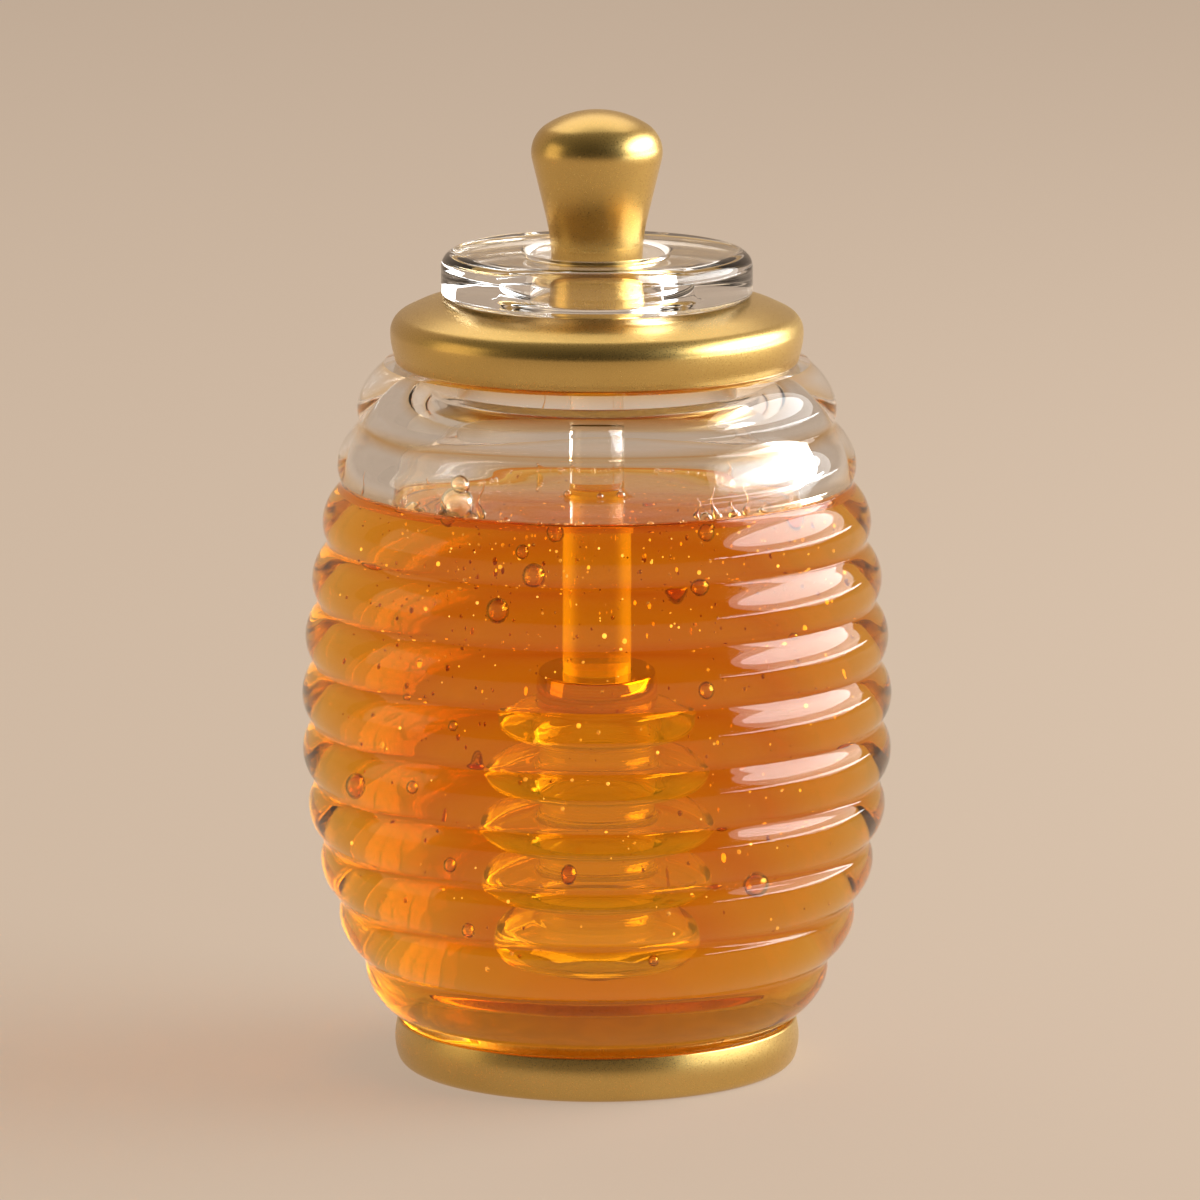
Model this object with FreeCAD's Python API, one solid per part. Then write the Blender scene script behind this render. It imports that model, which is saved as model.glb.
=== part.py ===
import FreeCAD, Part
import math
import os

# Beehive honey jar: a ribbed glass jar in a metal cup, filled with honey, closed by a metal lid that
# carries a glass ring, a knob and a glass honey dipper. All sizes are in millimetres. Every piece is
# turned about the Z axis, and the underside of the metal cup stands on z = 0.

# glass jar: the crests of its ribs lie on a beehive curve, widest at the belly
belly_radius = 48.0
belly_height = 57.0
foot_radius = 31.6
foot_top_height = 7.8
rib_count = 11
rib_pitch = 9.8
rib_depth = 1.9
groove_rounding = 0.7
wall_thickness = 2.3
inner_rib_depth = 1.4
inner_groove_rounding = 1.6
lowest_inner_rib = 1
highest_inner_rib = 8
glass_floor_height = 10.0
glass_floor_rounding = 9.0
shoulder_bulge = 3.2
mouth_radius = 27.5
mouth_depth = 3.6
rim_width = 6.7
rim_rounding = 0.8
foot_rounding = 0.8

# metal cup around the foot of the jar
cup_floor_thickness = 1.5
cup_wall_thickness = 1.4
cup_clearance = 0.3
cup_rim_gap = 0.2
cup_bulge = 0.5
cup_bulge_rounding = 18.0
cup_edge_rounding = 0.5
cup_foot_rounding = 1.0

# air left above the honey, up to the underside of the lid's plug
air_height = 16.9

# metal lid, with a plug that drops into the mouth
lid_overlap = 5.9
lid_height = 10.6
lid_edge_rounding = 3.5
lid_crown_drop = 3.4
lid_shoulder_drop = 1.4
lid_shoulder_rounding = 12.0
lid_skirt_height = 3.6
lid_skirt_draft = 0.9
lid_skirt_swell_rounding = 12.0
lid_skirt_rounding = 0.8
plug_clearance = 0.3
plug_depth = 3.2
plug_rounding = 0.6
socket_depth = 6.0

# glass ring that lies on the lid
glass_ring_radius = 25.2
glass_ring_height = 7.6
glass_ring_bore_radius = 10.8
glass_ring_rounding = 2.7
glass_ring_foot_rounding = 1.2
glass_ring_bore_rounding = 1.6

# metal knob that stands on the lid inside the glass ring
knob_foot_radius = 7.8
knob_waist_radius = 6.7
knob_waist_height = 6.8
knob_top_radius = 10.5
knob_neck_height = 22.6
knob_neck_rounding = 34.0
cap_lip = 0.1
cap_rise = 6.8
cap_edge_rounding = 5.2

# honey dipper: a glass rod in the lid, a metal collar and a glass head of five discs
rod_radius = 5.3
rod_clearance = 0.1
dipper_floor_gap = 6.0
collar_radius = 9.5
collar_height = 4.5
collar_rounding = 0.4
disc_count = 5
disc_pitch = 8.9
disc_thickness = 5.2
disc_rounding = 1.4
head_radius = 18.4
head_belly_drop = 21.5
head_taper = 35.0
neck_radius = 8.7
neck_rounding = 1.7
tip_thickness = 6.4
tip_drop = 1.9
tip_flat_radius = 7.2
tip_rounding = 5.7

# heights and radii that follow from the sizes above
rim_height = foot_top_height + rib_count * rib_pitch
rim_radius = mouth_radius + rim_width
lid_radius = mouth_radius + lid_overlap
lid_top_height = rim_height + lid_height
plug_bottom_height = rim_height - plug_depth
honey_level = plug_bottom_height - air_height
tip_height = glass_floor_height + dipper_floor_gap
dipper_top_height = tip_height + tip_drop + tip_thickness + (disc_count - 1) * disc_pitch


def point(radius, height):
    return FreeCAD.Vector(radius, 0, height)


def line(start, end):
    return Part.LineSegment(start, end).toShape()


def arc(start, middle, end):
    return Part.Arc(start, middle, end).toShape()


def joined(edges):
    """A wire through edges that follow each other, with short lines across any step between them."""
    chain = []
    for edge in edges:
        if chain:
            last = chain[-1].Vertexes[-1].Point
            first = edge.Vertexes[0].Point
            if last.distanceToPoint(first) > 1e-6:
                chain.append(line(last, first))
        chain.append(edge)
    start = chain[0].Vertexes[0].Point
    end = chain[-1].Vertexes[-1].Point
    if end.distanceToPoint(start) > 1e-6:
        chain.append(line(end, start))
    return Part.Wire(chain)


def turned(edges):
    """The solid that a closed outline in the XZ plane makes when it turns about the Z axis."""
    face = Part.Face(joined(edges))
    solid = face.revolve(FreeCAD.Vector(0, 0, 0), FreeCAD.Vector(0, 0, 1), 360)
    if solid.Volume < 0:
        solid.reverse()
    return solid


def rounded_path(corners):
    """Edges through corners given as (radius, height, rounding), each corner rounded by a tangent arc.

    A rounding is limited to the room on the sides: what the corner before has left, and half of the next.
    """
    points = [point(radius, height) for radius, height, rounding in corners]
    edges = []
    start = points[0]
    for before, corner, after, (_, _, rounding) in zip(points, points[1:], points[2:], corners[1:]):
        back = before - corner
        ahead = after - corner
        half_angle = back.getAngle(ahead) / 2
        room = min((start - corner).Length, 0.5 * ahead.Length)
        reach = min(rounding / math.tan(half_angle), room)
        if reach < 1e-6:
            edges.append(line(start, corner))
            start = corner
            continue
        back.normalize()
        ahead.normalize()
        bisector = back + ahead
        bisector.normalize()
        size = reach * math.tan(half_angle)
        depth = size / math.sin(half_angle) - size
        arc_start = corner + back * reach
        arc_end = corner + ahead * reach
        if arc_start.distanceToPoint(start) > 1e-6:
            edges.append(line(start, arc_start))
        edges.append(arc(arc_start, corner + bisector * depth, arc_end))
        start = arc_end
    edges.append(line(start, points[-1]))
    return edges


def beehive_radius(height):
    """Radius at a height of the beehive curve, on which the rib crests lie.

    It is half an ellipse above the belly and half another below. They end where the rim and the foot
    put the bottom of a groove.
    """
    above = height > belly_height
    end_height = rim_height if above else foot_top_height
    end_radius = rim_radius if above else foot_radius
    narrowing = 1 - ((end_radius + rib_depth) / belly_radius) ** 2
    share = (height - belly_height) / (end_height - belly_height)
    return belly_radius * math.sqrt(1 - narrowing * share ** 2)


def crest_height(rib):
    return foot_top_height + (rib + 0.5) * rib_pitch


def rib_circle(rib, inset, depth):
    """Centre and radius of the circle through a rib's crest and the bottoms of the grooves beside it."""
    middle = crest_height(rib)
    low = middle - 0.5 * rib_pitch
    high = middle + 0.5 * rib_pitch
    circle = Part.Circle(
        point(beehive_radius(low) - inset - depth, low),
        point(beehive_radius(middle) - inset, middle),
        point(beehive_radius(high) - inset - depth, high),
    )
    return circle.Center, circle.Radius


def groove_circle(rib, inset, depth, rounding):
    """Centre of the small circle that touches a rib and the rib above it from outside."""
    low_centre, low_radius = rib_circle(rib, inset, depth)
    high_centre, high_radius = rib_circle(rib + 1, inset, depth)
    low_reach = low_radius + rounding
    high_reach = high_radius + rounding
    span = high_centre - low_centre
    along = (span.Length ** 2 + low_reach ** 2 - high_reach ** 2) / (2 * span.Length)
    across = math.sqrt(low_reach ** 2 - along ** 2)
    span.normalize()
    outward = FreeCAD.Vector(span.z, 0, -span.x)
    return low_centre + span * along + outward * across


def ribbed_wall(first, last, inset, depth, rounding, start, end):
    """Arcs up a ribbed wall, rib after rib, with a rounded groove between each two ribs."""
    edges = []
    for rib in range(first, last + 1):
        centre, radius = rib_circle(rib, inset, depth)
        finish = end
        if rib < last:
            groove = groove_circle(rib, inset, depth, rounding)
            towards_groove = groove - centre
            towards_groove.normalize()
            finish = centre + towards_groove * radius
        middle = (start + finish) * 0.5 - centre
        middle.normalize()
        edges.append(arc(start, centre + middle * radius, finish))
        if rib < last:
            next_centre, next_radius = rib_circle(rib + 1, inset, depth)
            towards_groove = groove - next_centre
            towards_groove.normalize()
            next_start = next_centre + towards_groove * next_radius
            bottom = (finish + next_start) * 0.5 - groove
            bottom.normalize()
            edges.append(arc(finish, groove + bottom * rounding, next_start))
            start = next_start
    return edges


def inner_groove_point(rib):
    """Bottom of the inner groove under a rib."""
    height = crest_height(rib) - 0.5 * rib_pitch
    return point(beehive_radius(height) - wall_thickness - inner_rib_depth, height)


def floor_edges():
    """Inside bottom of the glass: flat, with a wide round corner up to the lowest inner groove."""
    corner = inner_groove_point(lowest_inner_rib)
    flat_radius = corner.x - glass_floor_rounding
    bulge = 0.5 ** 0.5
    rise = corner.z - glass_floor_height
    middle = point(flat_radius + glass_floor_rounding * bulge, corner.z - rise * bulge)
    flat_end = point(flat_radius, glass_floor_height)
    return [line(point(0, glass_floor_height), flat_end), arc(flat_end, middle, corner)]


def inner_ribs():
    return ribbed_wall(
        lowest_inner_rib, highest_inner_rib, wall_thickness, inner_rib_depth, inner_groove_rounding,
        inner_groove_point(lowest_inner_rib), inner_groove_point(highest_inner_rib + 1),
    )


def shoulder_edges():
    """Inside of the shoulder: one round from the highest inner groove up to the mouth."""
    start = inner_groove_point(highest_inner_rib + 1)
    end = point(mouth_radius, rim_height - mouth_depth)
    chord = end - start
    outward = FreeCAD.Vector(chord.z, 0, -chord.x)
    outward.normalize()
    return [arc(start, (start + end) * 0.5 + outward * shoulder_bulge, end)]


def cavity():
    """The inside of the jar, from the glass floor up through the mouth."""
    over_rim = rim_height + lid_height
    mouth = [
        line(point(mouth_radius, rim_height - mouth_depth), point(mouth_radius, over_rim)),
        line(point(mouth_radius, over_rim), point(0, over_rim)),
    ]
    return turned(floor_edges() + inner_ribs() + shoulder_edges() + mouth)


def jar():
    foot = rounded_path([
        (0, cup_floor_thickness, 0),
        (foot_radius, cup_floor_thickness, foot_rounding),
        (foot_radius, foot_top_height, 0),
    ])
    ribs = ribbed_wall(
        0, rib_count - 1, 0, rib_depth, groove_rounding,
        point(foot_radius, foot_top_height), point(rim_radius, rim_height),
    )
    rim = [line(point(rim_radius, rim_height), point(0, rim_height))]
    glass = turned(foot + ribs + rim).cut(cavity())
    rim_edges = [
        edge for edge in glass.Edges
        if abs(edge.BoundBox.ZMin - rim_height) < 1e-6 and abs(edge.BoundBox.ZMax - rim_height) < 1e-6
    ]
    return glass.makeFillet(rim_rounding, rim_edges)


def base_cup():
    inner_radius = foot_radius + cup_clearance
    outer_radius = inner_radius + cup_wall_thickness
    cup_height = foot_top_height - cup_rim_gap
    return turned(rounded_path([
        (0, 0, 0),
        (outer_radius - cup_bulge, 0, cup_foot_rounding),
        (outer_radius, 0.5 * cup_height, cup_bulge_rounding),
        (outer_radius - 0.5 * cup_bulge, cup_height, cup_edge_rounding),
        (inner_radius, cup_height, cup_edge_rounding),
        (inner_radius, cup_floor_thickness, 0),
        (0, cup_floor_thickness, 0),
    ]))


def lid():
    plug_radius = mouth_radius - plug_clearance
    bottom_radius = lid_radius - lid_skirt_draft
    socket_radius = rod_radius + rod_clearance
    socket_top = plug_bottom_height + socket_depth
    shoulder_radius = 0.5 * (lid_radius + glass_ring_radius)
    return turned(rounded_path([
        (0, socket_top, 0),
        (socket_radius, socket_top, 0),
        (socket_radius, plug_bottom_height, 0),
        (plug_radius, plug_bottom_height, plug_rounding),
        (plug_radius, rim_height, 0),
        (bottom_radius, rim_height, lid_skirt_rounding),
        (lid_radius, rim_height + lid_skirt_height, lid_skirt_swell_rounding),
        (lid_radius, lid_top_height - lid_crown_drop, lid_edge_rounding),
        (shoulder_radius, lid_top_height - lid_shoulder_drop, lid_shoulder_rounding),
        (glass_ring_radius, lid_top_height, 0),
        (0, lid_top_height, 0),
    ]))


def glass_ring():
    top = lid_top_height + glass_ring_height
    middle = lid_top_height + 0.5 * glass_ring_height
    return turned(rounded_path([
        (glass_ring_radius, middle, 0),
        (glass_ring_radius, top, glass_ring_rounding),
        (glass_ring_bore_radius, top, glass_ring_bore_rounding),
        (glass_ring_bore_radius, lid_top_height, glass_ring_foot_rounding),
        (glass_ring_radius, lid_top_height, glass_ring_foot_rounding),
        (glass_ring_radius, middle, 0),
    ]))


def knob():
    """A slender waisted stem under a flattened cap, whose round edge and crown meet in tangent."""
    waist_height = lid_top_height + knob_waist_height
    neck_height = lid_top_height + knob_neck_height
    stem = rounded_path([
        (0, lid_top_height, 0),
        (knob_foot_radius, lid_top_height, 0),
        (knob_waist_radius, waist_height, knob_neck_rounding),
        (knob_top_radius, neck_height, 0),
    ])
    cap_radius = knob_top_radius + cap_lip
    edge_offset = cap_radius - cap_edge_rounding
    drop = math.sqrt(cap_edge_rounding ** 2 - (knob_top_radius - edge_offset) ** 2)
    edge_centre = point(edge_offset, neck_height + drop)
    square_sum = edge_offset ** 2 + cap_rise ** 2 - cap_edge_rounding ** 2
    crown_radius = 0.5 * square_sum / (cap_rise - cap_edge_rounding)
    top = point(0, edge_centre.z + cap_rise)
    crown_centre = top - point(0, crown_radius)
    outward = edge_centre - crown_centre
    outward.normalize()
    meeting = crown_centre + outward * crown_radius
    half_way = (meeting + top) * 0.5 - crown_centre
    half_way.normalize()
    cap = [
        arc(point(knob_top_radius, neck_height), edge_centre + point(cap_edge_rounding, 0), meeting),
        arc(meeting, crown_centre + half_way * crown_radius, top),
    ]
    return turned(stem + cap)


def disc_radius(height):
    """The discs are widest at the head's belly and smaller above and below it."""
    belly = dipper_top_height - head_belly_drop
    return head_radius * math.sqrt(1 - ((height - belly) / head_taper) ** 2)


def dipper_head():
    top = dipper_top_height
    corners = [(0, top, 0)]
    for disc in range(disc_count):
        upper = top - disc * disc_pitch
        is_tip = disc == disc_count - 1
        lower = upper - (tip_thickness if is_tip else disc_thickness)
        radius = disc_radius(0.5 * (upper + lower))
        corners.append((radius, upper, disc_rounding))
        corners.append((radius, lower, disc_rounding))
        if not is_tip:
            corners.append((neck_radius, lower, neck_rounding))
            corners.append((neck_radius, top - (disc + 1) * disc_pitch, neck_rounding))
    corners.append((tip_flat_radius, tip_height, tip_rounding))
    corners.append((0, tip_height, 0))
    return turned(rounded_path(corners))


def dipper_collar():
    bore = rod_radius + rod_clearance
    top = dipper_top_height + collar_height
    return turned(rounded_path([
        (bore, dipper_top_height, 0),
        (collar_radius, dipper_top_height, collar_rounding),
        (collar_radius, top, collar_rounding),
        (bore, top, 0),
        (bore, dipper_top_height, 0),
    ]))


def dipper_rod():
    length = plug_bottom_height + socket_depth - dipper_top_height
    return Part.makeCylinder(rod_radius, length, point(0, dipper_top_height))


def honey():
    over_level = rim_height + lid_height - honey_level
    air = Part.makeCylinder(belly_radius, over_level, point(0, honey_level))
    sunk_collar = Part.makeCylinder(collar_radius, collar_height, point(0, dipper_top_height))
    return cavity().cut(air).cut(dipper_head()).cut(dipper_rod()).cut(sunk_collar)


pieces = {
    "base_cup": base_cup,
    "jar": jar,
    "honey": honey,
    "lid": lid,
    "glass_ring": glass_ring,
    "knob": knob,
    "dipper_rod": dipper_rod,
    "dipper_collar": dipper_collar,
    "dipper_head": dipper_head,
}

os.makedirs("parts", exist_ok=True)
for name, build in pieces.items():
    build().exportStep("parts/" + name + ".step")
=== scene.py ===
import math
import bmesh
import bpy
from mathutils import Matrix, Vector


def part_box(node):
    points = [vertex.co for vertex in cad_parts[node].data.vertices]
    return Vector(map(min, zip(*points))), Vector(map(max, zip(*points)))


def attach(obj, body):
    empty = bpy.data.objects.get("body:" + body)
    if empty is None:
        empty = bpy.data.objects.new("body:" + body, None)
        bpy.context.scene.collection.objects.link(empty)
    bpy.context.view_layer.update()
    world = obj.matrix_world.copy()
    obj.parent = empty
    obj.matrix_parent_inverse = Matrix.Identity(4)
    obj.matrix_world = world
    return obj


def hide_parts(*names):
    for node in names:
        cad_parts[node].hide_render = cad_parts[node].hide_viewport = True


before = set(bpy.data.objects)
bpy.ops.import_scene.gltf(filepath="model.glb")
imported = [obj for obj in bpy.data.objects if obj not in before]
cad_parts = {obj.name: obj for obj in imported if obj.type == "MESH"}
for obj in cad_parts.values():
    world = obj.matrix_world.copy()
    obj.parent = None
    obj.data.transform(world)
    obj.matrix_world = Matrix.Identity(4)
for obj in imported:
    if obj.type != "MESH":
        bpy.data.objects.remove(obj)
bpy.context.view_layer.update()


# ---- Base cup ----
# A shallow cup of thin metal with a satin gold finish, in which the foot of the glass jar stands. It is
# turned, with a slightly bulged wall, a rolled upper edge and a rounded foot.
cup_low, cup_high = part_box("base_cup")
cup_wall = 0.0014
cup_floor = 0.0015
cup_bulge = 0.0011
cup_lean = cup_bulge * 0.6
cup_edge = 0.0007
cup_foot = 0.0022
cup_bulge_rounding = 0.016
around_metal = 192
weld_distance = 2e-6
sharp_angle = math.radians(38)
gold_colour = (0.73, 0.51, 0.175, 1)
gold_shade = (0.62, 0.415, 0.125, 1)


def put(tree, kind, inputs=None, **properties):
    """A new node in a tree, with its properties and with the values or links of its inputs."""
    made = tree.nodes.new(kind)
    for name, value in properties.items():
        setattr(made, name, value)
    for socket, value in (inputs or {}).items():
        if isinstance(value, bpy.types.NodeSocket):
            tree.links.new(value, made.inputs[socket])
        else:
            made.inputs[socket].default_value = value
    return made


def new_material(name):
    """An empty node material, its output node and its Object coordinates."""
    material = bpy.data.materials.new(name)
    material.use_nodes = True
    tree = material.node_tree
    tree.nodes.clear()
    output = tree.nodes.new("ShaderNodeOutputMaterial")
    place = tree.nodes.new("ShaderNodeTexCoord").outputs["Object"]
    return material, tree, output, place


def rounded_outline(corners, step=math.radians(7)):
    """Points along (radius, height, rounding) corners, with an arc in each corner that has a rounding."""
    path = [Vector(corners[0][:2])]
    for corner, after in zip(corners[1:], corners[2:]):
        here = Vector(corner[:2])
        back = path[-1] - here
        ahead = Vector(after[:2]) - here
        half = back.angle(ahead) / 2
        reach = min(corner[2] / math.tan(half), back.length, ahead.length / 2)
        if reach < 1e-7:
            path.append(here)
            continue
        back.normalize()
        ahead.normalize()
        radius = reach * math.tan(half)
        centre = here + (back + ahead).normalized() * (radius / math.sin(half))
        spoke = here + back * reach - centre
        turn = math.pi - 2 * half
        if back.x * ahead.y - back.y * ahead.x > 0:
            turn = -turn
        count = max(2, math.ceil(abs(turn) / step))
        for part in range(count + 1):
            angle = turn * part / count
            across = spoke.x * math.cos(angle) - spoke.y * math.sin(angle)
            along = spoke.x * math.sin(angle) + spoke.y * math.cos(angle)
            path.append(centre + Vector((across, along)))
    path.append(Vector(corners[-1][:2]))
    return path


def turn_outline(shape, outline, around):
    """Turns an outline of (radius, height) points about the Z axis, into faces of a bmesh."""
    rings = []
    for radius, height in outline:
        if radius < 1e-7:
            rings.append([shape.verts.new((0, 0, height))] * around)
            continue
        ring = []
        for part in range(around):
            angle = 2 * math.pi * part / around
            ring.append(shape.verts.new((radius * math.cos(angle), radius * math.sin(angle), height)))
        rings.append(ring)
    for low, high in zip(rings, rings[1:]):
        for part in range(around):
            following = (part + 1) % around
            corners = [low[part], low[following], high[following], high[part]]
            corners = [corner for place, corner in enumerate(corners) if corner not in corners[:place]]
            shape.faces.new(corners)


def finished_piece(name, shape, materials, nodes, hollow=False):
    """A piece from a bmesh: closed, with its faces outwards, shaded smooth and riding on the jar's body."""
    bmesh.ops.remove_doubles(shape, verts=shape.verts, dist=weld_distance)
    if not hollow:
        bmesh.ops.recalc_face_normals(shape, faces=shape.faces)
    mesh = bpy.data.meshes.new(name)
    shape.to_mesh(mesh)
    shape.free()
    mesh.shade_smooth()
    mesh.set_sharp_from_angle(angle=sharp_angle)
    for material in materials:
        mesh.materials.append(material)
    piece = bpy.data.objects.new(name, mesh)
    bpy.context.scene.collection.objects.link(piece)
    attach(piece, "root")
    if nodes:
        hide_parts(*nodes)
    return piece


def satin_gold():
    """Gold-finished metal with a fine blasted grain and a few specks of dust."""
    material, tree, output, place = new_material("satin gold")
    cloud = put(tree, "ShaderNodeTexNoise", {"Vector": place, "Scale": 60.0, "Detail": 3.0})
    grain = put(tree, "ShaderNodeTexNoise", {"Vector": place, "Scale": 5200.0, "Detail": 2.0})
    speck = put(tree, "ShaderNodeTexVoronoi", {"Vector": place, "Scale": 420.0, "Randomness": 1.0})
    dust = put(tree, "ShaderNodeMapRange", {"Value": speck.outputs["Distance"], "From Min": 0.05,
                                            "From Max": 0.11, "To Min": 1.0, "To Max": 0.0})
    colour = put(tree, "ShaderNodeMix", {"Factor": cloud.outputs["Fac"], 6: gold_colour, 7: gold_shade},
                 data_type="RGBA")
    dull = put(tree, "ShaderNodeMapRange", {"Value": grain.outputs["Fac"], "From Min": 0.3,
                                            "From Max": 0.7, "To Min": 0.25, "To Max": 0.36})
    rough = put(tree, "ShaderNodeMath", {0: dust.outputs["Result"], 1: 0.12, 2: dull.outputs["Result"]},
                operation="MULTIPLY_ADD")
    height = put(tree, "ShaderNodeMath", {0: dust.outputs["Result"], 1: 2.0, 2: grain.outputs["Fac"]},
                 operation="MULTIPLY_ADD")
    bump = put(tree, "ShaderNodeBump", {"Height": height.outputs[0], "Strength": 0.12, "Distance": 0.00004})
    metal = put(tree, "ShaderNodeBsdfPrincipled", {
        "Base Color": colour.outputs[2], "Metallic": 1.0, "Roughness": rough.outputs[0],
        "Normal": bump.outputs[0],
    })
    tree.links.new(metal.outputs[0], output.inputs["Surface"])
    return material


gold = satin_gold()
cup_shape = bmesh.new()
turn_outline(cup_shape, rounded_outline([
    (0, 0, 0),
    (cup_high.x - cup_bulge, 0, cup_foot),
    (cup_high.x, cup_high.z / 2, cup_bulge_rounding),
    (cup_high.x - cup_lean, cup_high.z, cup_edge),
    (cup_high.x - cup_wall, cup_high.z, cup_edge),
    (cup_high.x - cup_wall, cup_floor, 0),
    (0, cup_floor, 0),
]), around_metal)
finished_piece("base_cup_satin", cup_shape, [gold], ["base_cup"])


# ---- Glass jar ----
# A thick-walled blown glass jar like a beehive: eleven round ribs whose crests follow a beehive curve,
# a heavy foot that stands in the cup, and a plain mouth. Its ribs are mould-blown, inside and outside.
jar_low, jar_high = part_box("jar")
honey_low, honey_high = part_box("honey")
lid_low, lid_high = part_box("lid")
around_jar = 192
belly_radius = 0.0480
belly_height = 0.0570
foot_radius = 0.0316
cup_rim_gap = 0.0002
foot_top = cup_high.z + cup_rim_gap
rim_radius = 0.0342
rib_count = 11
rib_pitch = (jar_high.z - foot_top) / rib_count
rib_depth = 0.0019
groove_softness = 0.0015
glass_wall = 0.0023
inner_rib_depth = 0.0014
inner_groove_softness = 0.0017
first_inner_rib = 1
last_inner_rib = 8
glass_floor = 0.0100
glass_floor_rounding = 0.0090
shoulder_bulge = 0.0032
glass_edge = 0.0008
mouth_radius = 0.0275
mouth_depth = 0.0036
mouth_bottom = jar_high.z - mouth_depth
steps_per_rib = 20
steps_per_inner_rib = 14
hair = 0.00005


def beehive_radius(calc, sizes, height):
    """Nodes for the radius of the beehive curve: half an ellipse above the belly, half another below."""
    above = calc("GREATER_THAN", height, sizes["Belly Height"])
    end_height = calc("MULTIPLY_ADD", above, calc("SUBTRACT", sizes["Rim Height"], sizes["Foot Height"]),
                      sizes["Foot Height"])
    end_radius = calc("MULTIPLY_ADD", above, calc("SUBTRACT", sizes["Rim Radius"], sizes["Foot Radius"]),
                      sizes["Foot Radius"])
    crest = calc("DIVIDE", calc("ADD", end_radius, sizes["Outer Rib Depth"]), sizes["Belly Radius"])
    narrowing = calc("SUBTRACT", 1.0, calc("MULTIPLY", crest, crest))
    share = calc("DIVIDE", calc("SUBTRACT", height, sizes["Belly Height"]),
                 calc("SUBTRACT", end_height, sizes["Belly Height"]))
    left = calc("SUBTRACT", 1.0, calc("MULTIPLY", narrowing, calc("MULTIPLY", share, share)))
    return calc("MULTIPLY", sizes["Belly Radius"], calc("SQRT", left))


def node_tree_with(name, sizes, whole_numbers=()):
    """A Geometry Nodes tree with named size inputs, its input sockets and its maths helper."""
    tree = bpy.data.node_groups.new(name, "GeometryNodeTree")
    tree.interface.new_socket("Geometry", in_out="OUTPUT", socket_type="NodeSocketGeometry")
    for size in sizes:
        tree.interface.new_socket(size, in_out="INPUT", socket_type="NodeSocketFloat")
    for number in whole_numbers:
        tree.interface.new_socket(number, in_out="INPUT", socket_type="NodeSocketInt")
    tree.interface.new_socket("Material", in_out="INPUT", socket_type="NodeSocketMaterial")
    entry = tree.nodes.new("NodeGroupInput")

    def calc(operation, *values):
        return put(tree, "ShaderNodeMath", dict(enumerate(values)), operation=operation).outputs[0]

    return tree, entry.outputs, calc


def end_tree(tree, geometry, material):
    """Closes a tree with Realize Instances and Set Material."""
    real = put(tree, "GeometryNodeRealizeInstances", {"Geometry": geometry})
    painted = put(tree, "GeometryNodeSetMaterial", {"Geometry": real.outputs[0], "Material": material})
    leave = tree.nodes.new("NodeGroupOutput")
    tree.links.new(painted.outputs[0], leave.inputs["Geometry"])


def grown_mesh(tree, values):
    """The plain mesh that a tree makes with these values for its named inputs."""
    holder = bpy.data.objects.new(tree.name, bpy.data.meshes.new(tree.name))
    bpy.context.scene.collection.objects.link(holder)
    modifier = holder.modifiers.new(tree.name, "NODES")
    modifier.node_group = tree
    for socket in tree.interface.items_tree:
        if socket.in_out == "INPUT":
            modifier[socket.identifier] = values[socket.name]
    evaluated = holder.evaluated_get(bpy.context.evaluated_depsgraph_get())
    mesh = bpy.data.meshes.new_from_object(evaluated)
    holder.modifiers.clear()
    bpy.data.objects.remove(holder)
    return mesh


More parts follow.
